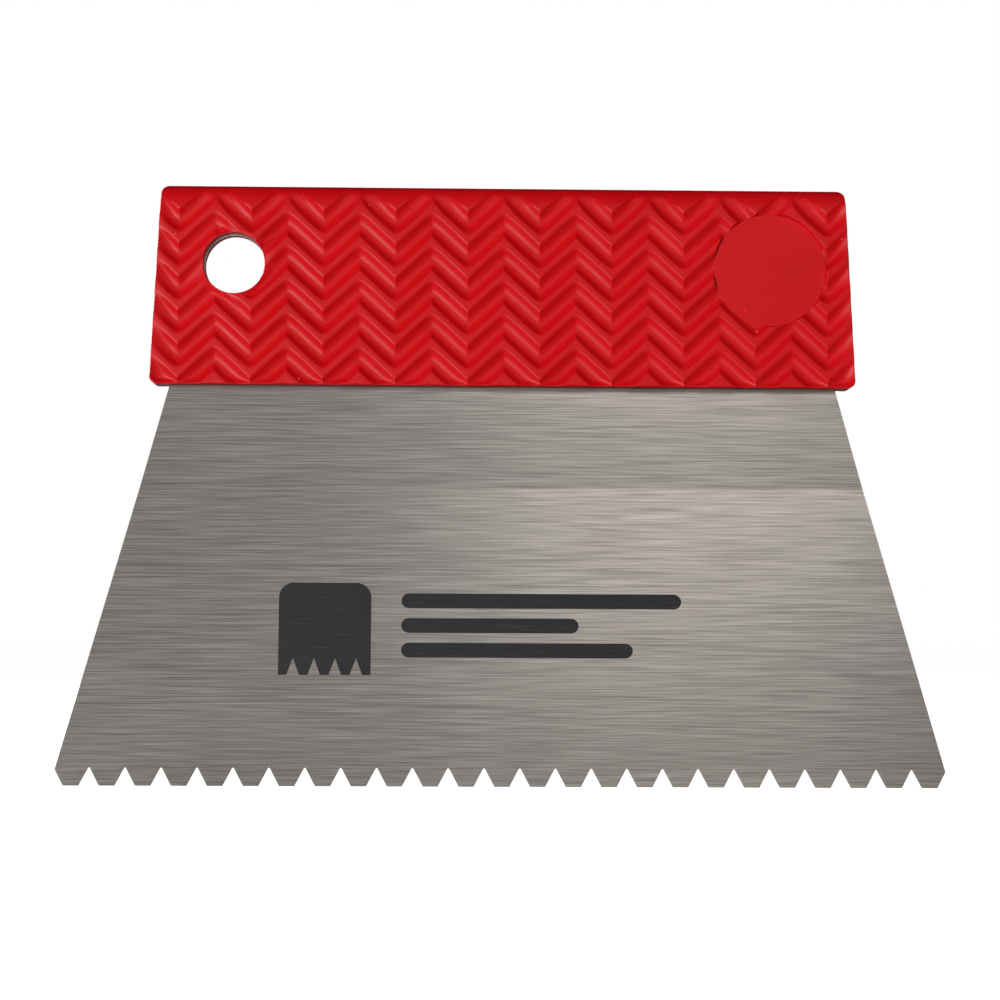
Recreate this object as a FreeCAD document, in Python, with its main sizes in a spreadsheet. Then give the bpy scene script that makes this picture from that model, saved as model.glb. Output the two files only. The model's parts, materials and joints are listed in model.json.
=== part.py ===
"""Notched trowel: a creased steel blade with a V-tooth edge, held in a bonded, chevron-embossed grip.

Frame: millimetres, +Z up, +X along the tooth row, -Y towards the front of the tool.
The origin is the middle of the centre tooth's land, half way through the sheet.
The sheet rises from there, leans back to the crease and then stands upright into the grip.
"""
import FreeCAD, Part
import Sketcher
import math
import os

SIZES = {
    # blade
    "sheet_thickness": 0.9,
    "blade_foot_width": 181.0,     # between the side edges, carried down to the tooth tips
    "side_slope": 0.274,           # how far each side edge runs in per millimetre of rise
    "lower_length": 60.6,          # tooth tips to crease, along the sheet
    "upper_length": 20.8,          # crease to the grip's lower edge
    "bend_angle": 4.0,             # degrees, lower blade kicked to the front
    # tooth edge: 24 whole notches between 25 teeth, and half a notch at each corner
    "notch_pitch": 7.2,
    "notch_count": 26,
    "notch_angle": 55.6,           # degrees between the flanks
    "notch_sharp_depth": 3.95,     # to the point where the flanks would meet
    "notch_root_radius": 0.25,
    # grip
    "grip_width_low": 144.4,
    "grip_width_top": 140.4,
    "grip_rise": 41.2,             # lower edge to the top of the fold
    "grip_thickness": 6.4,
    "grip_corner_radius": 1.6,
    "cover_thickness": 1.45,
    "film_thickness": 0.15,
    "core_edge_radius": 1.5,       # rounds the cores' top edges to sit up inside the fold
    # tang
    "tang_margin": 4.0,            # tang side edge to grip side edge
    "tang_rise": 36.0,             # above the grip's lower edge
    "tang_corner_radius": 5.0,
    # hanging hole near the left end, round recess with the smooth floor near the right end
    "hole_radius": 6.25,
    "hole_offset": 55.2,
    "hole_rise": 24.9,
    "recess_offset": 54.6,
    "recess_rise": 24.3,
    "recess_radius": 11.65,
    "recess_depth": 1.0,
    # embossing: valleys pressed into the cover, narrow lands left between them
    "chevron_pitch": 14.76,        # from one V bottom to the next
    "chevron_angle": 43.5,         # degrees, arm above horizontal
    "row_pitch": 6.935,
    "row_count": 6,
    "first_row_rise": -1.535,      # V bottom of the lowest valley, from the grip's lower edge
    "valley_rise": 3.6,            # valley width measured straight up
    "valley_depth": 0.95,
}
ARM_COUNT = 11                     # chevron arms drawn each side of the middle, past the cover's edges
SPARE = 10.0                       # how far cutting shapes reach past the material
TINY = 1e-6

CREASE_DEPTH = "(sizes.lower_length * sin(sizes.bend_angle))"
CREASE_RISE = "(sizes.lower_length * cos(sizes.bend_angle))"
GRIP_FOOT = f"({CREASE_RISE} + sizes.upper_length)"
HALF_SHEET = "(sizes.sheet_thickness / 2)"
FOLD_RISE = "(sizes.grip_rise - sizes.grip_thickness / 2)"
COVER_INSIDE = "(sizes.grip_thickness / 2 - sizes.cover_thickness)"
CORE_OUTSIDE = f"({COVER_INSIDE} - sizes.film_thickness)"
CORE_INSIDE = f"({HALF_SHEET} + sizes.film_thickness)"
CORE_TOP = f"({FOLD_RISE} + sizes.core_edge_radius)"

doc = FreeCAD.newDocument("notched_trowel")


def make_sheet():
    """The driving dimensions, one row each, under the name the expressions use."""
    sheet = doc.addObject("Spreadsheet::Sheet", "sizes")
    for row, (name, value) in enumerate(SIZES.items(), start=1):
        sheet.set(f"A{row}", name)
        sheet.set(f"B{row}", str(value))
        sheet.setAlias(f"B{row}", name)
    doc.recompute()
    return sheet


# ---------------------------------------------------------------- helpers

def make_body(label, in_grip):
    """A body at the row's origin, or with its own origin at the middle of the grip's lower edge."""
    body = doc.addObject("PartDesign::Body", label)
    body.Label = label
    if in_grip:
        body.setExpression("Placement.Base.y", CREASE_DEPTH)
        body.setExpression("Placement.Base.z", GRIP_FOOT)
    return body


def base_plane(body, role):
    return next(item for item in body.Origin.OriginFeatures if item.Role == role)


def make_sketch(body, name, role, offset="0"):
    """A sketch on one of the body's own planes, moved along the plane's normal by offset."""
    sketch = body.newObject("Sketcher::SketchObject", name)
    sketch.AttachmentSupport = (base_plane(body, role), "")
    sketch.MapMode = "FlatFace"
    sketch.setExpression("AttachmentOffset.Base.z", offset)
    return sketch


def value_of(sketch, expression):
    return float(sketch.evalExpression(expression))


def pin_down(sketch, line, end, across, up):
    """Hold one end of a line at a place given by two expressions."""
    for kind, axis, expression in (("DistanceX", -2, across), ("DistanceY", -1, up)):
        if expression == "0":
            sketch.addConstraint(Sketcher.Constraint("PointOnObject", line, end, axis))
        else:
            held = Sketcher.Constraint(kind, -1, 1, line, end, value_of(sketch, expression))
            index = sketch.addConstraint(held)
            sketch.setExpression(f"Constraints[{index}]", expression)


def add_outline(sketch, corners):
    """A closed outline through corners, each a pair of expressions. Returns its line numbers."""
    points = [FreeCAD.Vector(value_of(sketch, across), value_of(sketch, up), 0) for across, up in corners]
    ends = points[1:] + points[:1]
    lines = [sketch.addGeometry(Part.LineSegment(a, b), False) for a, b in zip(points, ends)]
    for line, following in zip(lines, lines[1:] + lines[:1]):
        sketch.addConstraint(Sketcher.Constraint("Coincident", line, 2, following, 1))
    for line, (across, up) in zip(lines, corners):
        pin_down(sketch, line, 1, across, up)
    return lines


def round_corner(sketch, line, radius):
    """Rounds the corner at the far end of an outline's line."""
    sketch.fillet(line, 2, value_of(sketch, radius), True, True)


def add_circle(sketch, across, up, radius):
    centre = FreeCAD.Vector(value_of(sketch, across), value_of(sketch, up), 0)
    circle = sketch.addGeometry(Part.Circle(centre, FreeCAD.Vector(0, 0, 1), value_of(sketch, radius)), False)
    pin_down(sketch, circle, 3, across, up)
    index = sketch.addConstraint(Sketcher.Constraint("Radius", circle, value_of(sketch, radius)))
    sketch.setExpression(f"Constraints[{index}]", radius)


def add_block(sketch, half_width, low, high):
    """A rectangle about the middle, used as the outside of a trimming cut."""
    left, right = f"-{half_width}", f"{half_width}"
    add_outline(sketch, [(left, low), (right, low), (right, high), (left, high)])


def pad(body, sketch, name, length, both_ways=False):
    feature = body.newObject("PartDesign::Pad", name)
    feature.Profile = sketch
    feature.Midplane = both_ways
    feature.setExpression("Length", length)
    sketch.Visibility = False
    return feature


def pocket(body, sketch, name, depth=None, reverse=False):
    """A cut depth deep from the sketch, or right through both ways when no depth is given."""
    feature = body.newObject("PartDesign::Pocket", name)
    feature.Profile = sketch
    if depth is None:
        feature.Type = "ThroughAll"
        feature.Midplane = True
    else:
        feature.Reversed = reverse
        feature.setExpression("Length", depth)
    sketch.Visibility = False
    return feature


def repeat(body, feature, name, sketch, axis, length, count):
    """Repeats a feature in a row along one of its sketch's axes."""
    pattern = body.newObject("PartDesign::LinearPattern", name)
    pattern.Originals = [feature]
    pattern.Direction = (sketch, [axis])
    pattern.setExpression("Length", length)
    pattern.setExpression("Occurrences", count)
    body.Tip = pattern
    return pattern


# ---------------------------------------------------------------- outlines shared by the grip's layers

def grip_half_width(rise):
    """Half the grip's width at a rise above its lower edge."""
    taper = "(sizes.grip_width_low - sizes.grip_width_top) / sizes.grip_rise"
    return f"((sizes.grip_width_low - {taper} * {rise}) / 2)"


def add_rounded_panel(sketch, margin, top, low_radius, top_radius):
    """The grip's trapezoid, drawn in by a margin at the sides, up to top, with rounded corners."""
    low = f"({grip_half_width('0.0')} - {margin})"
    high = f"({grip_half_width(top)} - {margin})"
    foot, right, head, left = add_outline(
        sketch, [(f"-{low}", "0"), (low, "0"), (high, top), (f"-{high}", top)]
    )
    for radius, lines in ((low_radius, (left, foot)), (top_radius, (right, head))):
        for line in lines:
            if radius:
                round_corner(sketch, line, radius)


def cut_hanging_hole(body):
    sketch = make_sketch(body, f"{body.Label}_hole_sketch", "XZ_Plane")
    add_circle(sketch, "-sizes.hole_offset", "sizes.hole_rise", "sizes.hole_radius")
    pocket(body, sketch, f"{body.Label}_hole")


# ---------------------------------------------------------------- blade

def make_blade():
    body = make_body("blade", in_grip=False)
    section = make_sketch(body, "bent_section", "YZ_Plane")
    lean_in = f"({HALF_SHEET} * cos(sizes.bend_angle))"
    lean_up = f"({HALF_SHEET} * sin(sizes.bend_angle))"
    mitre = f"({HALF_SHEET} * tan(sizes.bend_angle / 2))"
    tang_top = f"({GRIP_FOOT} + sizes.tang_rise)"
    add_outline(section, [
        (f"-{lean_in}", lean_up),
        (lean_in, f"-{lean_up}"),
        (f"({CREASE_DEPTH} + {HALF_SHEET})", f"({CREASE_RISE} - {mitre})"),
        (f"({CREASE_DEPTH} + {HALF_SHEET})", tang_top),
        (f"({CREASE_DEPTH} - {HALF_SHEET})", tang_top),
        (f"({CREASE_DEPTH} - {HALF_SHEET})", f"({CREASE_RISE} + {mitre})"),
    ])
    pad(body, section, "bent_strip", "sizes.blade_foot_width", both_ways=True)
    trim_blade_sides(body)
    cut_notches(body)
    cut_tang_hole(body)
    return body


def trim_blade_sides(body):
    """Cuts the strip to its tapered sides, then to the narrower tang with rounded shoulders."""
    trim = make_sketch(body, "blade_outline", "XZ_Plane")
    half_foot = "(sizes.blade_foot_width / 2)"
    neck = f"({half_foot} - sizes.side_slope * {GRIP_FOOT})"
    tang_low = f"({grip_half_width('0.0')} - sizes.tang_margin)"
    tang_high = f"({grip_half_width('sizes.tang_rise')} - sizes.tang_margin)"
    tang_top = f"({GRIP_FOOT} + sizes.tang_rise)"
    below = f"-{SPARE / 4}"
    foot = f"({half_foot} + sizes.side_slope * {SPARE / 4})"
    right_side = [(foot, below), (neck, GRIP_FOOT), (tang_low, GRIP_FOOT), (tang_high, tang_top)]
    left_side = [(f"-{across}", up) for across, up in reversed(right_side)]
    lines = add_outline(trim, right_side + left_side)
    top_line = len(right_side) - 1
    for line in (lines[top_line - 1], lines[top_line]):
        round_corner(trim, line, "sizes.tang_corner_radius")
    add_block(trim, f"(sizes.blade_foot_width / 2 + {SPARE})", f"-{SPARE}", f"({tang_top} + {SPARE})")
    pocket(body, trim, "blade_trim")


def cut_notches(body):
    """One rounded V cut square to the lower blade at the left corner, repeated along the edge."""
    plane = body.newObject("PartDesign::Plane", "lower_blade_plane")
    plane.AttachmentSupport = (base_plane(body, "XZ_Plane"), "")
    plane.MapMode = "FlatFace"
    plane.AttachmentOffset = FreeCAD.Placement(FreeCAD.Vector(), FreeCAD.Rotation(FreeCAD.Vector(1, 0, 0), 0))
    plane.setExpression("AttachmentOffset.Rotation.Axis.x", "1")
    plane.setExpression("AttachmentOffset.Rotation.Angle", "-sizes.bend_angle")
    doc.recompute()

    sketch = body.newObject("Sketcher::SketchObject", "notch_sketch")
    sketch.AttachmentSupport = (plane, "")
    sketch.MapMode = "FlatFace"
    first = "(-sizes.notch_pitch * (sizes.notch_count - 1) / 2)"
    below = f"{SPARE / 10}"
    reach = f"((sizes.notch_sharp_depth + {below}) * tan(sizes.notch_angle / 2))"
    lines = add_outline(sketch, [
        (f"({first} - {reach})", f"-{below}"),
        (f"({first} + {reach})", f"-{below}"),
        (first, "sizes.notch_sharp_depth"),
    ])
    round_corner(sketch, lines[1], "sizes.notch_root_radius")
    notch = pocket(body, sketch, "notch")
    repeat(body, notch, "notch_row", sketch, "H_Axis",
           "sizes.notch_pitch * (sizes.notch_count - 1)", "sizes.notch_count")


def cut_tang_hole(body):
    sketch = make_sketch(body, "tang_hole_sketch", "XZ_Plane")
    add_circle(sketch, "-sizes.hole_offset", f"({GRIP_FOOT} + sizes.hole_rise)", "sizes.hole_radius")
    pocket(body, sketch, "tang_hole")


# ---------------------------------------------------------------- grip cover

def make_cover():
    body = make_body("grip_cover", in_grip=True)
    section = make_sketch(body, "fold_section", "YZ_Plane")
    add_fold_section(section)
    pad(body, section, "folded_strip", f"sizes.grip_width_low + {2 * SPARE}", both_ways=True)

    trim = make_sketch(body, "cover_outline", "XZ_Plane")
    radius = "sizes.grip_corner_radius"
    add_rounded_panel(trim, "0.0", "sizes.grip_rise", radius, radius)
    add_block(trim, f"(sizes.grip_width_low / 2 + {2 * SPARE})", f"-{SPARE}", f"(sizes.grip_rise + {SPARE})")
    pocket(body, trim, "cover_trim")

    press_valleys(body, "front", reverse=False)
    press_valleys(body, "rear", reverse=True)

    recess_sketch = make_sketch(body, "label_recess_sketch", "XZ_Plane", "sizes.grip_thickness / 2")
    add_circle(recess_sketch, "sizes.recess_offset", "sizes.recess_rise", "sizes.recess_radius")
    pocket(body, recess_sketch, "label_recess", "sizes.recess_depth", False)
    cut_hanging_hole(body)
    return body


def add_fold_section(sketch):
    """Two upright leaves joined by a half-round fold, seen from the end of the grip."""
    rise = value_of(sketch, FOLD_RISE)
    outside = value_of(sketch, "sizes.grip_thickness / 2")
    inside = value_of(sketch, COVER_INSIDE)
    centre = FreeCAD.Vector(0, rise, 0)
    arcs = []
    for radius in (outside, inside):
        circle = Part.Circle(centre, FreeCAD.Vector(0, 0, 1), radius)
        arcs.append(sketch.addGeometry(Part.ArcOfCircle(circle, 0, math.pi), False))
    feet = {}
    for arc, radius in zip(arcs, (outside, inside)):
        for end, side in ((1, 1), (2, -1)):
            top, foot = FreeCAD.Vector(side * radius, rise, 0), FreeCAD.Vector(side * radius, 0, 0)
            feet[arc, side] = sketch.addGeometry(Part.LineSegment(top, foot), False)
            sketch.addConstraint(Sketcher.Constraint("Tangent", feet[arc, side], 1, arc, end))
            sketch.addConstraint(Sketcher.Constraint("PointOnObject", feet[arc, side], 2, -1))
    for side in (1, -1):
        outer, inner = feet[arcs[0], side], feet[arcs[1], side]
        ends = FreeCAD.Vector(side * outside, 0, 0), FreeCAD.Vector(side * inside, 0, 0)
        foot = sketch.addGeometry(Part.LineSegment(*ends), False)
        sketch.addConstraint(Sketcher.Constraint("Coincident", foot, 1, outer, 2))
        sketch.addConstraint(Sketcher.Constraint("Coincident", foot, 2, inner, 2))
    for arc, expression in zip(arcs, ("sizes.grip_thickness / 2", COVER_INSIDE)):
        pin_down(sketch, arc, 3, "0", FOLD_RISE)
        index = sketch.addConstraint(Sketcher.Constraint("Radius", arc, value_of(sketch, expression)))
        sketch.setExpression(f"Constraints[{index}]", expression)


def press_valleys(body, side, reverse):
    """Chevron valleys pressed into one leaf: one zigzag band, repeated up the leaf."""
    sign = "-" if reverse else ""
    sketch = make_sketch(body, f"{side}_valley_sketch", "XZ_Plane", f"{sign}sizes.grip_thickness / 2")
    swing = "(sizes.chevron_pitch / 2 * tan(sizes.chevron_angle))"

    def zigzag(shift):
        """Corners from left to right. Peaks lie on even arms, so one stands over the middle."""
        line = []
        for arm in range(-ARM_COUNT, ARM_COUNT + 1):
            climb = f" + {swing}" if arm % 2 == 0 else ""
            line.append((f"({arm} * sizes.chevron_pitch / 2)", f"(sizes.first_row_rise + {shift}{climb})"))
        return line

    lower = zigzag("-sizes.valley_rise / 2")
    upper = zigzag("sizes.valley_rise / 2")
    add_outline(sketch, lower + upper[::-1])
    valley = pocket(body, sketch, f"{side}_valley", "sizes.valley_depth", reverse)
    repeat(body, valley, f"{side}_valleys", sketch, "V_Axis",
           "sizes.row_pitch * (sizes.row_count - 1)", "sizes.row_count")


# ---------------------------------------------------------------- layers inside the grip

def make_film(label, near_face, margin, top, low_radius, top_radius):
    """A film of adhesive, one film thickness towards the front from near_face."""
    body = make_body(label, in_grip=True)
    sketch = make_sketch(body, f"{label}_sketch", "XZ_Plane", near_face)
    add_rounded_panel(sketch, margin, top, low_radius, top_radius)
    pad(body, sketch, f"{label}_sheet", "sizes.film_thickness")
    cut_hanging_hole(body)
    return body


def make_core(label, front):
    """A liner that reaches to the middle plane all round, with a recess for its half of the tang."""
    body = make_body(label, in_grip=True)
    sketch = make_sketch(body, f"{label}_sketch", "XZ_Plane", "0" if front else f"-{CORE_OUTSIDE}")
    add_rounded_panel(sketch, "0.0", CORE_TOP, "sizes.grip_corner_radius", None)
    plate = pad(body, sketch, f"{label}_plate", CORE_OUTSIDE)
    round_top_edge(body, plate, front)

    recess = make_sketch(body, f"{label}_recess_sketch", "XZ_Plane", "0")
    add_rounded_panel(recess, "sizes.tang_margin", "sizes.tang_rise", None, "sizes.tang_corner_radius")
    pocket(body, recess, f"{label}_recess", CORE_INSIDE, reverse=front)
    cut_hanging_hole(body)
    return body


def round_top_edge(body, plate, front):
    """Rounds the core's long top edge on the side that faces the cover."""
    doc.recompute()
    box = plate.Shape.BoundBox
    outside = box.YMin if front else box.YMax
    names = [
        f"Edge{number}" for number, edge in enumerate(plate.Shape.Edges, start=1)
        if all(abs(end.Z - box.ZMax) < TINY and abs(end.Y - outside) < TINY for end in edge.Vertexes)
    ]
    rounded = body.newObject("PartDesign::Fillet", f"{body.Label}_top_edge")
    rounded.Base = (plate, names)
    rounded.setExpression("Radius", "sizes.core_edge_radius")


def make_layers():
    """Each layer of the grip, with its sides, top and corners: the tang's outline or the panel's."""
    tang = ("sizes.tang_margin", "sizes.tang_rise", None, "sizes.tang_corner_radius")
    panel = ("0.0", FOLD_RISE, "sizes.grip_corner_radius", None)
    return [
        make_film("tang_film_front", HALF_SHEET, *tang),
        make_film("tang_film_rear", f"-{CORE_INSIDE}", *tang),
        make_core("core_front", front=True),
        make_core("core_rear", front=False),
        make_film("cover_film_front", CORE_OUTSIDE, *panel),
        make_film("cover_film_rear", f"-{COVER_INSIDE}", *panel),
    ]


# ---------------------------------------------------------------- build, check, write

def check(bodies):
    for item in doc.Objects:
        bad = [state for state in item.State if state in ("Invalid", "Error")]
        if bad:
            raise RuntimeError(f"{item.Label} is {bad}")
    for body in bodies:
        shape = body.Shape
        if shape.isNull() or not shape.isValid() or len(shape.Solids) != 1:
            raise RuntimeError(f"{body.Label} is not one valid solid")
        print(f"{body.Label}: {shape.Volume:.1f} mm3, {len(shape.Faces)} faces")


def write(bodies):
    os.makedirs("parts", exist_ok=True)
    for body in bodies:
        body.Shape.exportStep(f"parts/{body.Label}.step")


make_sheet()
parts = [make_blade(), make_cover()] + make_layers()
doc.recompute()
check(parts)
write(parts)
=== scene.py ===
"""Looks for the notched trowel: an embossed soft-PVC grip on a brushed steel blade with a V-tooth edge.

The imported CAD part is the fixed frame. The grip cover is rebuilt as a fine mesh with rounded chevron
grooves. The blade and the layers inside the grip keep their CAD meshes and get materials.
Lengths are metres. MM turns millimetres into metres. A leaf of the cover is worked out flat, in
millimetres: x along the grip, and run, the distance up the leaf from its lower edge and over the fold.
"""
import json
import math

import bmesh
import bpy
import numpy as np
from mathutils import Matrix, Vector
from mathutils.geometry import delaunay_2d_cdt


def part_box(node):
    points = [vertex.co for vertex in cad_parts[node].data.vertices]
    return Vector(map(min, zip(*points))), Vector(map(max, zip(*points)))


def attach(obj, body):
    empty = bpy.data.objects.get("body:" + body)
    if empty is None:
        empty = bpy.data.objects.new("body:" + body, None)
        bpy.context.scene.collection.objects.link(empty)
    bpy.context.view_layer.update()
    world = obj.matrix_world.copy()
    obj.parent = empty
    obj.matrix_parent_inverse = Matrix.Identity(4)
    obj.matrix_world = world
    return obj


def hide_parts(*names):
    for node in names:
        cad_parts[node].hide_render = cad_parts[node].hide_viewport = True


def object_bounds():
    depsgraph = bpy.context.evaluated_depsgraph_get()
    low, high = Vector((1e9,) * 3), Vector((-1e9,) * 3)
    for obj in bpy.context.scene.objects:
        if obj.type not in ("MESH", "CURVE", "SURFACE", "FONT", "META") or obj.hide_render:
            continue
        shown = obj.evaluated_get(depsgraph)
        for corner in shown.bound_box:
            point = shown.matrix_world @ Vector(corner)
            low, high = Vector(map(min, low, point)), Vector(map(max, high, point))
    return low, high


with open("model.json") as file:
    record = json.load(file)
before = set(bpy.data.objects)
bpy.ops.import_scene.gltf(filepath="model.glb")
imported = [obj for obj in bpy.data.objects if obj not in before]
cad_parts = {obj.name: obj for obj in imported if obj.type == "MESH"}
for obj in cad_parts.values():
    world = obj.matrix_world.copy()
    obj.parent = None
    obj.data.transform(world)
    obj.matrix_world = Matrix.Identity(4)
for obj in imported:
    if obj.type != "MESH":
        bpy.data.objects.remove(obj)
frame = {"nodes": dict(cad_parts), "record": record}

CAD_LOW, CAD_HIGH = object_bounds()
MM = 0.001

# ---------------------------------------------------------------- sizes, from the frame

MOUNTS = {mount["name"]: mount for mount in frame["record"]["mounts"]}
COVER_LOW, COVER_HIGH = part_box("grip_cover")

GRIP_FOOT = COVER_LOW.z
GRIP_MIDDLE = (COVER_LOW.y + COVER_HIGH.y) / 2
THICKNESS = (COVER_HIGH.y - COVER_LOW.y) / MM
RISE = (COVER_HIGH.z - COVER_LOW.z) / MM
CORNER_RADIUS = 1.6                         # the cover's four corners, seen from the front
SIDE_TAPER = 2.0 / 41.2                     # each side leans in this much per millimetre of rise
HALF_WIDTH = COVER_HIGH.x / MM + SIDE_TAPER * CORNER_RADIUS
HALF_THICKNESS = THICKNESS / 2
CREASE_TO_GRIP = 20.8                       # from the blade's crease up to the grip's lower edge
FOLD_RISE = 5.4                             # the fold is half an ellipse, this tall
FOLD_START = RISE - FOLD_RISE
FOLD_LENGTH = math.pi / 2 * math.hypot(FOLD_RISE, HALF_THICKNESS) / math.sqrt(2)
FOLD_TOP = FOLD_START + FOLD_LENGTH
GROOVES_END = FOLD_START + 4.6              # the fold has curved deeper than a groove here
SKIN = 1.45                                 # cover thickness

HOLE_X = MOUNTS["hanging_hole"]["pos_m"][0] / MM
HOLE_RUN = (MOUNTS["hanging_hole"]["pos_m"][2] - GRIP_FOOT) / MM
HOLE_RADIUS = MOUNTS["hanging_hole"]["dims"]["r_mm"]
PAD_X = MOUNTS["label_pad"]["pos_m"][0] / MM
PAD_RUN = (MOUNTS["label_pad"]["pos_m"][2] - GRIP_FOOT) / MM
PAD_RADIUS = 11.65                          # the round recess with the smooth floor
PAD_DEPTH = 1.0

# ---------------------------------------------------------------- the chevron pattern

PITCH = 14.76                               # from one V bottom to the next
SLOPE = math.tan(math.radians(43.5))        # rise of a chevron's arm per millimetre of x
ROW_PITCH = 6.935                           # from one groove up to the next
FIRST_GROOVE = -8.467                       # V bottom of the lowest groove's centre line
GROOVE_ROWS = 8
CORNER_BLEND = 0.85                         # how far the outer corners of the zigzag are rounded
BORDER_LOW, BORDER_HIGH = -1.2, 1.4         # the grooves fade out over this at the lower edge
SIDE_SHARE, SIDE_FADE = 0.25, 1.2           # a groove's share of its depth at a cut edge, and its way in
FOLD_LIFT = 1.45                            # grooves run out this much faster than the fold curves away
RUN_OUT = 0.12                              # softens the ends of the grooves on the fold
EDGE_ROUND = 0.3                            # rounding along the cover's cut edges
RIM_ROUND = 0.2                             # and around the hole
PAD_FOOT, PAD_LIP = 0.12, 0.3               # how far the recess's wall leans in, and its rounded lip

# A groove's section, square across it: a round hollow, then a rounded shoulder up to the next land.
WALL_ANGLE = math.radians(48)               # the steepest place, where the hollow meets the shoulder
HOLLOW_REACH = 1.68                         # from the groove's centre line
SHOULDER_REACH = 2.5                        # where the shoulder meets the flat land
HOLLOW_RADIUS = HOLLOW_REACH / math.sin(WALL_ANGLE)
SHOULDER_RADIUS = (SHOULDER_REACH - HOLLOW_REACH) / math.sin(WALL_ANGLE)
GROOVE_DEPTH = (HOLLOW_RADIUS + SHOULDER_RADIUS) * (1 - math.cos(WALL_ANGLE))
ARM_COS = math.cos(math.atan(SLOPE))
HALF_RISE = HOLLOW_REACH / ARM_COS          # half a hollow's width, measured straight up
LAND_MIDDLE = ROW_PITCH / 2 * ARM_COS       # half way to the next groove

# How the mesh is laid out.
GROOVE_LINES = (0.0, 0.45, 0.9, 1.3, HOLLOW_REACH, 1.9, 2.1, 2.3, LAND_MIDDLE)
CORNER_STEPS = (0.0, 0.18, 0.45, 1.0, 2.2)
ARMS = 11
HOLE_SEGMENTS = 96
PAD_SEGMENTS = 160


def peak_distance(x):
    """Distance along x from the nearest peak of the zigzag. One peak stands over the middle."""
    return np.abs((x / PITCH + 0.5) % 1.0 - 0.5) * PITCH


def groove_middle(x):
    """A groove's centre line above its V bottoms, and how far up its hollow reaches from there.

    The upper side rounds the zigzag's peaks and the lower side rounds its V bottoms.
    """
    from_peak = peak_distance(x)
    from_bottom = PITCH / 2 - from_peak
    upper = SLOPE * (PITCH / 2 - np.sqrt(from_peak ** 2 + CORNER_BLEND ** 2))
    lower = SLOPE * np.sqrt(from_bottom ** 2 + CORNER_BLEND ** 2)
    return (upper + lower) / 2, HALF_RISE + (upper - lower) / 2


def groove_line(x, off_centre, row):
    """How far up the leaf a line runs that keeps this far off a groove's centre line."""
    middle, half = groove_middle(x)
    share = min(abs(off_centre) / HOLLOW_REACH, 1.0)
    beyond = max(abs(off_centre) - HOLLOW_REACH, 0.0) / ARM_COS
    return FIRST_GROOVE + row * ROW_PITCH + middle + np.sign(off_centre) * (share * half + beyond)


def groove_depth(x, run):
    """How deep the grooves are pressed in, where the leaf is flat."""
    middle, half = groove_middle(x)
    above = run - FIRST_GROOVE - middle
    off_centre = np.abs(above - np.round(above / ROW_PITCH) * ROW_PITCH)
    inside = np.minimum(off_centre / half, 1.0) * HOLLOW_REACH
    outside = np.clip((off_centre - half) * ARM_COS, 0.0, SHOULDER_REACH - HOLLOW_REACH)
    hollow = HOLLOW_RADIUS - np.sqrt(HOLLOW_RADIUS ** 2 - inside ** 2)
    to_land = SHOULDER_REACH - HOLLOW_REACH - outside
    shoulder = SHOULDER_RADIUS - np.sqrt(SHOULDER_RADIUS ** 2 - to_land ** 2)
    return np.where(off_centre < half, GROOVE_DEPTH - hollow, shoulder)


def smooth(low, high, value):
    share = np.clip((value - low) / (high - low), 0.0, 1.0)
    return share * share * (3 - 2 * share)


def quarter_round(distance, radius):
    """Depth of a rounded edge at a distance in from it."""
    short = np.clip(radius - distance, 0.0, radius)
    return radius - np.sqrt(radius ** 2 - short ** 2)


def fold_turn(run):
    """How far round the fold's ellipse a distance up the leaf has come, from 0 to a quarter turn."""
    return np.clip((run - FOLD_START) / FOLD_LENGTH, 0.0, 1.0) * math.pi / 2


def rise_of(run):
    """Height above the lower edge for a distance up the leaf and over the fold."""
    return np.minimum(run, FOLD_START) + FOLD_RISE * np.sin(fold_turn(run))


def half_width(run):
    """Half the cover's width, with its four rounded corners."""
    rise = rise_of(run)
    cut = quarter_round(rise, CORNER_RADIUS) + quarter_round(RISE - rise, CORNER_RADIUS)
    return HALF_WIDTH - SIDE_TAPER * rise - cut


def fold_drop(run):
    """How far the fold's outside has curved away from the plane of the flat leaf."""
    return HALF_THICKNESS * (1 - np.cos(fold_turn(run)))


def soft_floor(value, blend):
    """Zero below zero, and above it the value, met through a short curve."""
    curve = np.clip(value, 0.0, blend)
    return curve ** 2 / (2 * blend) + np.maximum(value - blend, 0.0)


def with_recess(pressed, x, run):
    """Adds the round recess: a flat floor, a steep wall and a small rounded shoulder."""
    outward = np.hypot(x - PAD_X, run - PAD_RUN) - PAD_RADIUS
    wall = 1 - smooth(-PAD_FOOT, PAD_LIP * 0.4, outward)
    lip = quarter_round(np.maximum(outward, 0.0), PAD_LIP) * (outward < PAD_LIP)
    deepest = np.maximum(pressed, np.maximum(PAD_DEPTH * wall, lip))
    return np.where(outward < 0, np.minimum(deepest, PAD_DEPTH), deepest)


def depth(x, run, with_pad):
    """How far the surface lies under the cover's outermost skin, in millimetres."""
    from_side = half_width(run) - np.abs(x)
    from_hole = np.hypot(x - HOLE_X, run - HOLE_RUN) - HOLE_RADIUS
    to_cut = smooth(0.0, SIDE_FADE, np.minimum(from_side, from_hole))
    at_cut = SIDE_SHARE + (1 - SIDE_SHARE) * to_cut
    grooves = groove_depth(x, run) * smooth(BORDER_LOW, BORDER_HIGH, run) * at_cut
    pressed = soft_floor(grooves - FOLD_LIFT * fold_drop(run), RUN_OUT)
    if with_pad:
        pressed = with_recess(pressed, x, run)
    edge = np.minimum(run, from_side)
    return pressed + quarter_round(edge, EDGE_ROUND) + quarter_round(from_hole, RIM_ROUND)


# ---------------------------------------------------------------- a leaf of the cover, drawn flat

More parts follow.
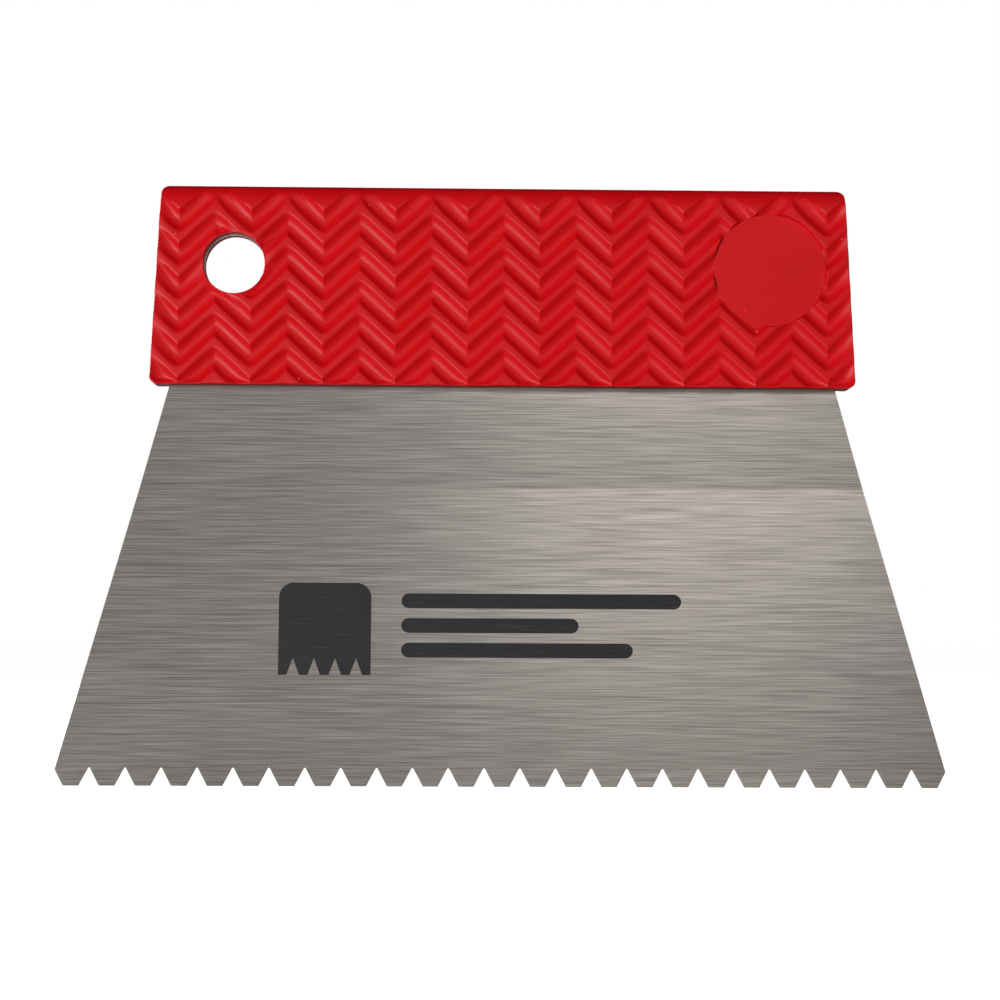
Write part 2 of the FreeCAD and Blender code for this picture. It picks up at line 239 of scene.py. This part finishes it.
class Drawing:
    """Points and lines in the flat leaf, gathered for one triangulation."""

    def __init__(self):
        self.points = []
        self.lines = []

    def add_path(self, x, run, closed=False, keep=None):
        start = len(self.points)
        self.points += [Vector((float(a), float(b))) for a, b in zip(x, run)]
        count = len(x)
        for i in range(count if closed else count - 1):
            a, b = i, (i + 1) % count
            if keep is None or (keep[a] and keep[b]):
                self.lines.append((start + a, start + b))

    def add_circle(self, x, run, radius, segments):
        turn = np.arange(segments) * (2 * math.pi / segments)
        self.add_path(x + radius * np.cos(turn), run + radius * np.sin(turn), closed=True)

    def triangles(self, fence=0):
        """Points and triangles. With a fence, only what that many of the first lines enclose."""
        used = sorted({end for line in self.lines for end in line})
        number = {old: new for new, old in enumerate(used)}
        points = [self.points[old] for old in used]
        lines = [(number[a], number[b]) for a, b in self.lines]
        found = delaunay_2d_cdt(points, lines, [], 0, 1e-4)
        corners, edges, faces, sources = found[0], found[1], np.array(found[2]), found[4]
        corners = np.array([tuple(corner) for corner in corners])
        if fence:
            closed = {frozenset(edge) for edge, made_from in zip(edges, sources)
                      if any(line < fence for line in made_from)}
            faces = faces[enclosed(corners, faces, closed)]
        return corners, faces


def enclosed(points, faces, closed):
    """Numbers of the faces reached from the largest one without crossing a closed edge."""
    sides = [[frozenset((face[i - 1], face[i])) for i in range(3)] for face in faces.tolist()]
    sharing = {}
    for number, edges in enumerate(sides):
        for edge in edges:
            sharing.setdefault(edge, []).append(number)
    a, b, c = (points[faces[:, i]] for i in range(3))
    area = np.abs((b - a)[:, 0] * (c - a)[:, 1] - (b - a)[:, 1] * (c - a)[:, 0])
    waiting = [int(np.argmax(area))]
    reached = set(waiting)
    while waiting:
        open_sides = [edge for edge in sides[waiting.pop()] if edge not in closed]
        beyond = {number for edge in open_sides for number in sharing[edge]} - reached
        reached |= beyond
        waiting += beyond
    return sorted(reached)


def outline_path(inset):
    """The cover's outline up one side, drawn in by inset, from the lower edge to the top of the fold."""
    low_corner = CORNER_RADIUS * (1 - np.cos(np.linspace(0, math.pi / 2, 9)))
    straight = np.linspace(CORNER_RADIUS, FOLD_START, 16)[1:]
    fold = np.linspace(FOLD_START, FOLD_TOP, 17)[1:]
    run = np.concatenate([low_corner, straight, fold])
    run = np.maximum(run, inset)
    return half_width(run) - inset, run


def column_places():
    """Where the mesh has a column of points: close together at the zigzag's corners."""
    half = PITCH / 2
    inside = list(CORNER_STEPS) + [half - step for step in reversed(CORNER_STEPS[1:])]
    places = [arm * half + step for arm in range(-ARMS, ARMS) for step in inside]
    return np.array(places + [ARMS * half])


def draw_leaf(with_pad):
    """Triangles of one flat leaf, from its lower edge to the top of the fold."""
    drawing = Drawing()
    columns = column_places()
    for row in range(GROOVE_ROWS):
        for off_centre in GROOVE_LINES:
            sides = (1,) if off_centre in (0.0, LAND_MIDDLE) else (1, -1)
            for side in sides:
                run = groove_line(columns, side * off_centre, row)
                keep = (run > -2.5) & (run < GROOVES_END) & (np.abs(columns) < HALF_WIDTH + 3)
                drawing.add_path(columns, run, keep=keep)
    for arm in range(-ARMS, ARMS + 1):
        run = np.arange(-1.0, FOLD_TOP + 1.0, 0.6)
        drawing.add_path(np.full(len(run), arm * PITCH / 2), run)
    across = np.arange(-HALF_WIDTH - 3, HALF_WIDTH + 3.1, 3.0)
    for run in np.linspace(GROOVES_END, FOLD_TOP, 9):
        drawing.add_path(across, np.full(len(across), run))
    for run in (0.0, 0.35, 0.7, 1.05, BORDER_HIGH):
        drawing.add_path(across, np.full(len(across), run))
    for inset in (0.0, 0.08, 0.18, EDGE_ROUND):
        x, run = outline_path(inset)
        for side in (1, -1):
            drawing.add_path(side * x, run)
        drawing.add_path(across, np.full(len(across), inset))
    for radius in (0.0, 0.06, RIM_ROUND):
        drawing.add_circle(HOLE_X, HOLE_RUN, HOLE_RADIUS + radius, HOLE_SEGMENTS)
    if with_pad:
        for outward in (-PAD_FOOT, -0.06, 0.0, PAD_LIP * 0.4, PAD_LIP * 0.7, PAD_LIP):
            drawing.add_circle(PAD_X, PAD_RUN, PAD_RADIUS + outward, PAD_SEGMENTS)
    points, faces = drawing.triangles()
    return trim(points, faces)


def trim(points, faces):
    """Keeps the triangles inside the outline and outside the hole, and the points they use."""
    x, run = points[faces].mean(axis=1).T
    inside = (run > 0) & (run < FOLD_TOP) & (np.abs(x) < half_width(np.clip(run, 0, FOLD_TOP)))
    open_hole = HOLE_RADIUS * math.cos(math.pi / HOLE_SEGMENTS)
    inside &= np.hypot(x - HOLE_X, run - HOLE_RUN) > open_hole
    faces = faces[inside]
    used, flat = np.unique(faces, return_inverse=True)
    return points[used], flat.reshape(faces.shape)


def open_edges(faces):
    """Edges that only one triangle uses, each in that triangle's direction."""
    edges = np.concatenate([faces[:, [0, 1]], faces[:, [1, 2]], faces[:, [2, 0]]])
    ends = np.sort(edges, axis=1)
    _, first, count = np.unique(ends, axis=0, return_index=True, return_counts=True)
    return edges[first[count == 1]]


def draw_lining(points, rim):
    """A coarse sheet for the leaf's hidden side, through the same rim points."""
    drawing = Drawing()
    drawing.points = [Vector(p) for p in points]
    drawing.lines = [tuple(edge) for edge in rim]
    for run in np.linspace(FOLD_START, FOLD_TOP, 9)[:-1]:
        across = np.arange(-HALF_WIDTH + 5, HALF_WIDTH - 4.9, 6.0)
        drawing.add_path(across, np.full(len(across), run))
    return drawing.triangles(fence=len(rim))


def place(points, under, side):
    """Stands flat points up in the row's frame. under is their depth below the outermost skin."""
    x, run = points[:, 0], points[:, 1]
    turn = fold_turn(run)
    facing = np.stack([np.cos(turn) / HALF_THICKNESS, np.sin(turn) / FOLD_RISE])
    facing /= np.hypot(*facing)
    out = HALF_THICKNESS * np.cos(turn) - under * facing[0]
    up = rise_of(run) - under * facing[1]
    return np.stack([x * MM, GRIP_MIDDLE - side * out * MM, GRIP_FOOT + up * MM], axis=1)


# ---------------------------------------------------------------- the cover's mesh

TOUCHING = 1e-3                             # points this close are one point


def leaf_mesh(bm, side):
    """One leaf with its half of the fold. side is 1 for the front and -1 for the rear."""
    points, faces = draw_leaf(with_pad=side == 1)
    rim = open_edges(faces)
    outer = place(points, depth(points[:, 0], points[:, 1], side == 1), side)
    lining, lining_faces = draw_lining(points, rim)
    inner = place(lining, np.full(len(lining), SKIN), side)

    outer_verts = [bm.verts.new(p) for p in outer]
    inner_verts = [bm.verts.new(p) for p in inner]
    on_pad = np.hypot(points[:, 0] - PAD_X, points[:, 1] - PAD_RUN) <= PAD_RADIUS - PAD_FOOT + TOUCHING
    for face in faces:
        made = bm.faces.new([outer_verts[i] for i in face])
        made.material_index = int(side == 1 and on_pad[face].all())
    for face in lining_faces:
        bm.faces.new([inner_verts[i] for i in reversed(face)])
    under = {tuple(np.round(p, 4)): vert for p, vert in zip(lining, inner_verts)}
    for a, b in rim:
        if min(points[a, 1], points[b, 1]) < FOLD_TOP - TOUCHING:
            inner_a, inner_b = (under[tuple(np.round(points[i], 4))] for i in (a, b))
            bm.faces.new([outer_verts[b], outer_verts[a], inner_a, inner_b])


def make_cover():
    bm = bmesh.new()
    leaf_mesh(bm, 1)
    leaf_mesh(bm, -1)
    bmesh.ops.remove_doubles(bm, verts=bm.verts, dist=TOUCHING * MM)
    bmesh.ops.recalc_face_normals(bm, faces=bm.faces)
    open_count = sum(len(edge.link_faces) != 2 for edge in bm.edges)
    mesh = bpy.data.meshes.new("grip_cover_embossed")
    bm.to_mesh(mesh)
    bm.free()
    print("cover faces", len(mesh.polygons), "open edges", open_count)
    mesh.shade_smooth()
    mesh.set_sharp_from_angle(angle=math.radians(42))
    cover = bpy.data.objects.new("grip_cover_embossed", mesh)
    bpy.context.scene.collection.objects.link(cover)
    return cover


cover = make_cover()
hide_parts("grip_cover")
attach(cover, "root")


# ---------------------------------------------------------------- the print on the blade

SHEET = 0.9                                 # blade thickness
INK = 0.03                                  # ink film, standing on the blade's front face
PRINT_LEFT, PRINT_LOW = -45.3, 22.3         # corner of the picture, from the middle of the tooth edge
TILE = 18.7                                 # side of the picture
TILE_ROUND = 3.0
NOTCHES = 4
LAND_SHARE = 0.4                            # how much of a notch pitch is land
BAR_LEFT = -20.5
BAR_RISES = (25.9, 30.9, 35.9)              # lower edges of the bars
BAR_LENGTHS = (47.0, 36.0, 56.9)
BAR_WIDTH = 3.0


def arc(x, up, radius, start, end, steps=8):
    """Points on an arc, with its angles in degrees."""
    angles = [math.radians(start + (end - start) * i / steps) for i in range(steps + 1)]
    return [(x + radius * math.cos(angle), up + radius * math.sin(angle)) for angle in angles]


def tile_outline():
    """A square with rounded upper corners and a comb of V notches along its foot."""
    right, top = PRINT_LEFT + TILE, PRINT_LOW + TILE
    outline = arc(right - TILE_ROUND, top - TILE_ROUND, TILE_ROUND, 0, 90)
    outline += arc(PRINT_LEFT + TILE_ROUND, top - TILE_ROUND, TILE_ROUND, 90, 180)
    pitch = TILE / (NOTCHES + LAND_SHARE)
    land = pitch * LAND_SHARE
    for notch in range(NOTCHES):
        left = PRINT_LEFT + notch * pitch
        outline += [(left, PRINT_LOW), (left + land, PRINT_LOW)]
        outline += [(left + (land + pitch) / 2, PRINT_LOW + pitch * 0.8)]
    return outline + [(right - land, PRINT_LOW), (right, PRINT_LOW)]


def bar_outline(low, length):
    """A plain bar with round ends."""
    radius = BAR_WIDTH / 2
    right_end = arc(BAR_LEFT + length - radius, low + radius, radius, -90, 90)
    return right_end + arc(BAR_LEFT + radius, low + radius, radius, 90, 270)


def on_blade(x, up, lift):
    """A place on the lower blade's front face. up runs up the blade from the middle of the tooth edge."""
    rise = GRIP_FOOT - CREASE_TO_GRIP * MM
    lean = math.atan2(GRIP_MIDDLE, rise)
    out = SHEET / 2 + lift
    return (x * MM, (up * math.sin(lean) - out * math.cos(lean)) * MM,
            (up * math.cos(lean) + out * math.sin(lean)) * MM)


def make_print():
    """A picture of a notched edge and three plain bars."""
    bm = bmesh.new()
    bars = [bar_outline(low, length) for low, length in zip(BAR_RISES, BAR_LENGTHS)]
    for outline in [tile_outline()] + bars:
        back, front = ([bm.verts.new(on_blade(x, up, lift)) for x, up in outline] for lift in (0.0, INK))
        bm.faces.new(front)
        bm.faces.new(back[::-1])
        for i in range(len(outline)):
            bm.faces.new([back[i - 1], back[i], front[i], front[i - 1]])
    bmesh.ops.recalc_face_normals(bm, faces=bm.faces)
    bmesh.ops.triangulate(bm, faces=bm.faces)
    mesh = bpy.data.meshes.new("blade_print")
    bm.to_mesh(mesh)
    bm.free()
    ink = bpy.data.objects.new("blade_print", mesh)
    bpy.context.scene.collection.objects.link(ink)
    return ink


blade_print = make_print()
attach(blade_print, "root")


# ---------------------------------------------------------------- materials

class Shader:
    """A small helper that adds nodes and links to one material."""

    def __init__(self, name):
        self.material = bpy.data.materials.new(name)
        self.material.use_nodes = True
        self.tree = self.material.node_tree
        self.surface = self.tree.nodes["Principled BSDF"]
        self.place = self.add("ShaderNodeTexCoord").outputs["Object"]

    def add(self, kind, **values):
        node = self.tree.nodes.new(kind)
        for name, value in values.items():
            if hasattr(node, name):
                setattr(node, name, value)
            else:
                node.inputs[name.replace("_", " ")].default_value = value
        return node

    def link(self, out, into):
        self.tree.links.new(out, into)

    def set(self, **values):
        for name, value in values.items():
            self.surface.inputs[name.replace("_", " ")].default_value = value

    def stretched(self, across, deep, up):
        """Object coordinates, scaled to a grain that is so many cells per metre each way."""
        mapping = self.add("ShaderNodeMapping")
        mapping.inputs["Scale"].default_value = (across, deep, up)
        self.link(self.place, mapping.inputs["Vector"])
        return mapping.outputs["Vector"]

    def noise(self, vector, detail=2.0, roughness=0.5):
        node = self.add("ShaderNodeTexNoise", Scale=1.0, Detail=detail, Roughness=roughness)
        self.link(vector, node.inputs["Vector"])
        return node.outputs["Fac"]

    def ramp(self, value, low, high, low_out=0.0, high_out=1.0):
        """Carries low to low_out and high to high_out, and holds the value there beyond them."""
        limits = dict(From_Min=low, From_Max=high, To_Min=low_out, To_Max=high_out)
        node = self.add("ShaderNodeMapRange", **limits)
        self.link(value, node.inputs["Value"])
        return node.outputs["Result"]

    def mix(self, share, low, high):
        """Mixes two colours, each a colour or a socket, by a share."""
        node = self.add("ShaderNodeMix", data_type="RGBA")
        factor, first, second = node.inputs[0], node.inputs[6], node.inputs[7]
        self.link(share, factor)
        self.feed(low, first)
        self.feed(high, second)
        return node.outputs[2]

    def combine(self, operation, first, second):
        node = self.add("ShaderNodeMath", operation=operation)
        self.feed(first, node.inputs[0])
        self.feed(second, node.inputs[1])
        return node.outputs[0]

    def feed(self, value, socket):
        """Sets a socket to a plain value, or links another socket into it."""
        if isinstance(value, bpy.types.NodeSocket):
            self.link(value, socket)
        else:
            socket.default_value = value

    def bump(self, height, strength, distance):
        node = self.add("ShaderNodeBump", Strength=strength, Distance=distance)
        self.link(height, node.inputs["Height"])
        self.link(node.outputs["Normal"], self.surface.inputs["Normal"])


def grip_material(name, scratched):
    """Red soft PVC. The smooth label recess's version carries fine scratches."""
    shader = Shader(name)
    cloud = shader.noise(shader.stretched(60, 60, 60), detail=3.0)
    red = shader.mix(shader.ramp(cloud, 0.3, 0.7), (0.60, 0.003, 0.006, 1), (0.66, 0.005, 0.009, 1))
    specks = shader.ramp(shader.noise(shader.stretched(900, 900, 900), detail=1.0), 0.80, 0.84)
    colour = shader.mix(specks, red, (0.75, 0.25, 0.22, 1))
    shader.link(colour, shader.surface.inputs["Base Color"])
    gloss = shader.noise(shader.stretched(350, 350, 350))
    shader.link(shader.ramp(gloss, 0.3, 0.7, 0.36, 0.46), shader.surface.inputs["Roughness"])
    grain = shader.noise(shader.stretched(5200, 5200, 5200))
    if scratched:
        scratches = shader.noise(shader.stretched(2600, 400, 160), detail=3.0, roughness=0.7)
        grain = shader.combine("ADD", grain, shader.ramp(scratches, 0.60, 0.68, 0.0, 1.5))
    shader.bump(grain, 0.25, 0.00003)
    shader.set(Specular_IOR_Level=0.19)
    return shader.material


def steel_material():
    """Spring steel with brush lines along the tooth row."""
    shader = Shader("blade_steel")
    fine = shader.noise(shader.stretched(80, 600, 8800), detail=1.0)
    broad = shader.noise(shader.stretched(50, 300, 5600), detail=1.0)
    cloud = shader.noise(shader.stretched(22, 22, 40))
    fine_share = shader.combine("MULTIPLY", fine, 0.6)
    broad_share = shader.combine("MULTIPLY", broad, 0.4)
    lines = shader.combine("ADD", fine_share, broad_share)
    dark, light = (0.56, 0.525, 0.49, 1), (0.98, 0.925, 0.865, 1)
    tone = shader.mix(shader.ramp(lines, 0.40, 0.60), dark, light)
    shader.link(tone, shader.surface.inputs["Base Color"])
    shader.link(shader.ramp(cloud, 0.3, 0.7, 0.29, 0.35), shader.surface.inputs["Roughness"])
    shader.bump(lines, 0.35, 0.00004)
    shader.set(Metallic=1.0, Anisotropic=0.7)
    tangent = shader.add("ShaderNodeCombineXYZ", Z=1.0)
    shader.link(tangent.outputs[0], shader.surface.inputs["Tangent"])
    return shader.material


def plain_material(name, low, high, roughness, grain):
    """A moulded or cast plastic: two near tones in soft clouds, with a fine grain."""
    shader = Shader(name)
    cloud = shader.noise(shader.stretched(grain, grain, grain), detail=3.0)
    tone = shader.mix(shader.ramp(cloud, 0.3, 0.7), low, high)
    sheen = shader.ramp(cloud, 0.3, 0.7, roughness, roughness + 0.1)
    shader.link(tone, shader.surface.inputs["Base Color"])
    shader.link(sheen, shader.surface.inputs["Roughness"])
    shader.bump(shader.noise(shader.stretched(4000, 4000, 4000)), 0.2, 0.00003)
    return shader.material


def ink_material():
    """Matt black ink, worn a little along the brush lines."""
    shader = Shader("blade_ink")
    wear = shader.noise(shader.stretched(150, 900, 3600), detail=3.0)
    tone = shader.mix(shader.ramp(wear, 0.55, 0.8), (0.018, 0.018, 0.022, 1), (0.045, 0.044, 0.046, 1))
    shader.link(tone, shader.surface.inputs["Base Color"])
    shader.link(shader.ramp(wear, 0.3, 0.7, 0.5, 0.62), shader.surface.inputs["Roughness"])
    shader.bump(wear, 0.2, 0.00001)
    shader.set(Specular_IOR_Level=0.25)
    return shader.material


def give(node, material):
    """Gives a CAD node a material, on the object, so that its mesh stays as packed."""
    thing = frame["nodes"][node]
    for slot in thing.material_slots:
        slot.link = "OBJECT"
        slot.material = material


cover.data.materials.append(grip_material("grip_pvc", scratched=False))
cover.data.materials.append(grip_material("grip_pvc_smooth", scratched=True))
blade_print.data.materials.append(ink_material())
give("blade", steel_material())
core = plain_material("core_plastic", (0.36, 0.006, 0.008, 1), (0.44, 0.012, 0.014, 1), 0.5, 90)
film = plain_material("adhesive_film", (0.25, 0.01, 0.012, 1), (0.33, 0.02, 0.02, 1), 0.35, 140)
for node in ("core_front", "core_rear"):
    give(node, core)
for node in ("tang_film_front", "tang_film_rear", "cover_film_front", "cover_film_rear"):
    give(node, film)


# ---------------------------------------------------------------- floor, light and camera

FLOOR_WHITE = 0.97                          # the floor's glow, which only the camera sees
SURROUND, CEILING = 0.31, 0.0               # the grey around the object, and above it


def make_floor():
    """A wide pale floor. It glows for the camera, so that it stays white out to the horizon."""
    half = 30.0
    bm = bmesh.new()
    corners = [(-half, -half), (half, -half), (half, half), (-half, half)]
    bm.faces.new([bm.verts.new((x, y, CAD_LOW.z - 0.0002)) for x, y in corners])
    mesh = bpy.data.meshes.new("floor")
    bm.to_mesh(mesh)
    bm.free()
    floor = bpy.data.objects.new("floor", mesh)
    bpy.context.scene.collection.objects.link(floor)
    shader = Shader("floor")
    cloud = shader.noise(shader.stretched(3, 3, 3))
    pale = shader.mix(cloud, (0.80, 0.80, 0.80, 1), (0.84, 0.84, 0.84, 1))
    shader.link(pale, shader.surface.inputs["Base Color"])
    shader.set(Roughness=1.0, Specular_IOR_Level=0.0, Emission_Color=(1, 1, 1, 1))
    path = shader.add("ShaderNodeLightPath")
    glow = shader.combine("MULTIPLY", path.outputs["Is Camera Ray"], FLOOR_WHITE)
    shader.link(glow, shader.surface.inputs["Emission Strength"])
    floor.data.materials.append(shader.material)
    floor.visible_shadow = False


def make_lamp(name, place, target, size, power, tint=(1, 1, 1)):
    data = bpy.data.lights.new(name, "AREA")
    data.shape = "RECTANGLE"
    data.size, data.size_y = size
    data.energy = power
    data.color = tint
    lamp = bpy.data.objects.new(name, data)
    lamp.location = place
    lamp.rotation_euler = (Vector(target) - Vector(place)).to_track_quat("-Z", "Y").to_euler()
    bpy.context.scene.collection.objects.link(lamp)
    return lamp


def light_only(lamp, things):
    """Keeps a lamp off everything but these, so that the steel doesn't mirror it."""
    lit = bpy.data.collections.new("lit_by_" + lamp.name)
    for thing in things:
        lit.objects.link(thing)
    lamp.light_linking.receiver_collection = lit


def make_world():
    """White for the camera. For the object, a grey surround that darkens overhead."""
    world = bpy.data.worlds.new("studio")
    bpy.context.scene.world = world
    world.use_nodes = True
    tree = world.node_tree
    back = tree.nodes["Background"]
    back.inputs["Color"].default_value = (1, 1, 1, 1)
    direction = tree.nodes.new("ShaderNodeTexCoord").outputs["Generated"]
    split = tree.nodes.new("ShaderNodeSeparateXYZ")
    tree.links.new(direction, split.inputs[0])
    overhead = tree.nodes.new("ShaderNodeMapRange")
    overhead.interpolation_type = "SMOOTHSTEP"
    limits = {"From Min": 0.1, "From Max": 0.5, "To Min": SURROUND, "To Max": CEILING}
    for name, value in limits.items():
        overhead.inputs[name].default_value = value
    tree.links.new(split.outputs["Z"], overhead.inputs["Value"])
    path = tree.nodes.new("ShaderNodeLightPath")
    strength = tree.nodes.new("ShaderNodeMix")
    tree.links.new(path.outputs["Is Camera Ray"], strength.inputs[0])
    tree.links.new(overhead.outputs["Result"], strength.inputs[2])
    strength.inputs[3].default_value = 1.0
    tree.links.new(strength.outputs[0], back.inputs["Strength"])


def make_camera():
    """A long lens, nearly square to the grip and a touch low, aimed at the blade's crease."""
    tilt, roll, yaw = (math.radians(angle) for angle in (-3.66, 0.34, 1.23))
    turn = Matrix.Rotation(yaw, 3, "Z") @ Matrix.Rotation(roll, 3, "Y") @ Matrix.Rotation(tilt, 3, "X")
    crease = Vector((0, GRIP_MIDDLE, GRIP_FOOT - CREASE_TO_GRIP * MM))
    offset = Vector((0.55, 450.5, 2.36)) * MM
    data = bpy.data.cameras.new("camera")
    data.lens = 79.2
    data.clip_start = 0.01
    camera = bpy.data.objects.new("camera", data)
    camera.location = crease - turn.transposed() @ offset
    look = turn.transposed() @ Matrix(((1, 0, 0), (0, 0, -1), (0, 1, 0)))
    camera.rotation_euler = look.to_euler()
    bpy.context.scene.collection.objects.link(camera)
    bpy.context.scene.camera = camera


def aimed(azimuth, elevation, distance):
    """A place around the object. Azimuth 0 is in front, and 90 is to the right."""
    turn, lift = math.radians(azimuth), math.radians(elevation)
    flat = distance * math.cos(lift)
    return (flat * math.sin(turn), GRIP_MIDDLE - flat * math.cos(turn), 0.07 + distance * math.sin(lift))


make_floor()
make_world()
middle = (0, GRIP_MIDDLE, 0.07)
key = make_lamp("key", aimed(-31, -6, 2.5), middle, (1.2, 0.4), 52)
light_only(key, [cover, blade_print])
fill = make_lamp("fill", aimed(-14, 12, 1.5), middle, (0.9, 0.6), 0.24, (1, 0.98, 0.97))
light_only(fill, [frame["nodes"]["blade"]])
make_lamp("front", aimed(11, 25, 0.7), middle, (0.22, 0.15), 0.32, (1, 0.96, 0.92))
make_lamp("rear_key", aimed(-140, 20, 1.0), middle, (0.5, 0.4), 6)
make_camera()
bpy.context.scene.view_settings.view_transform = "Standard"
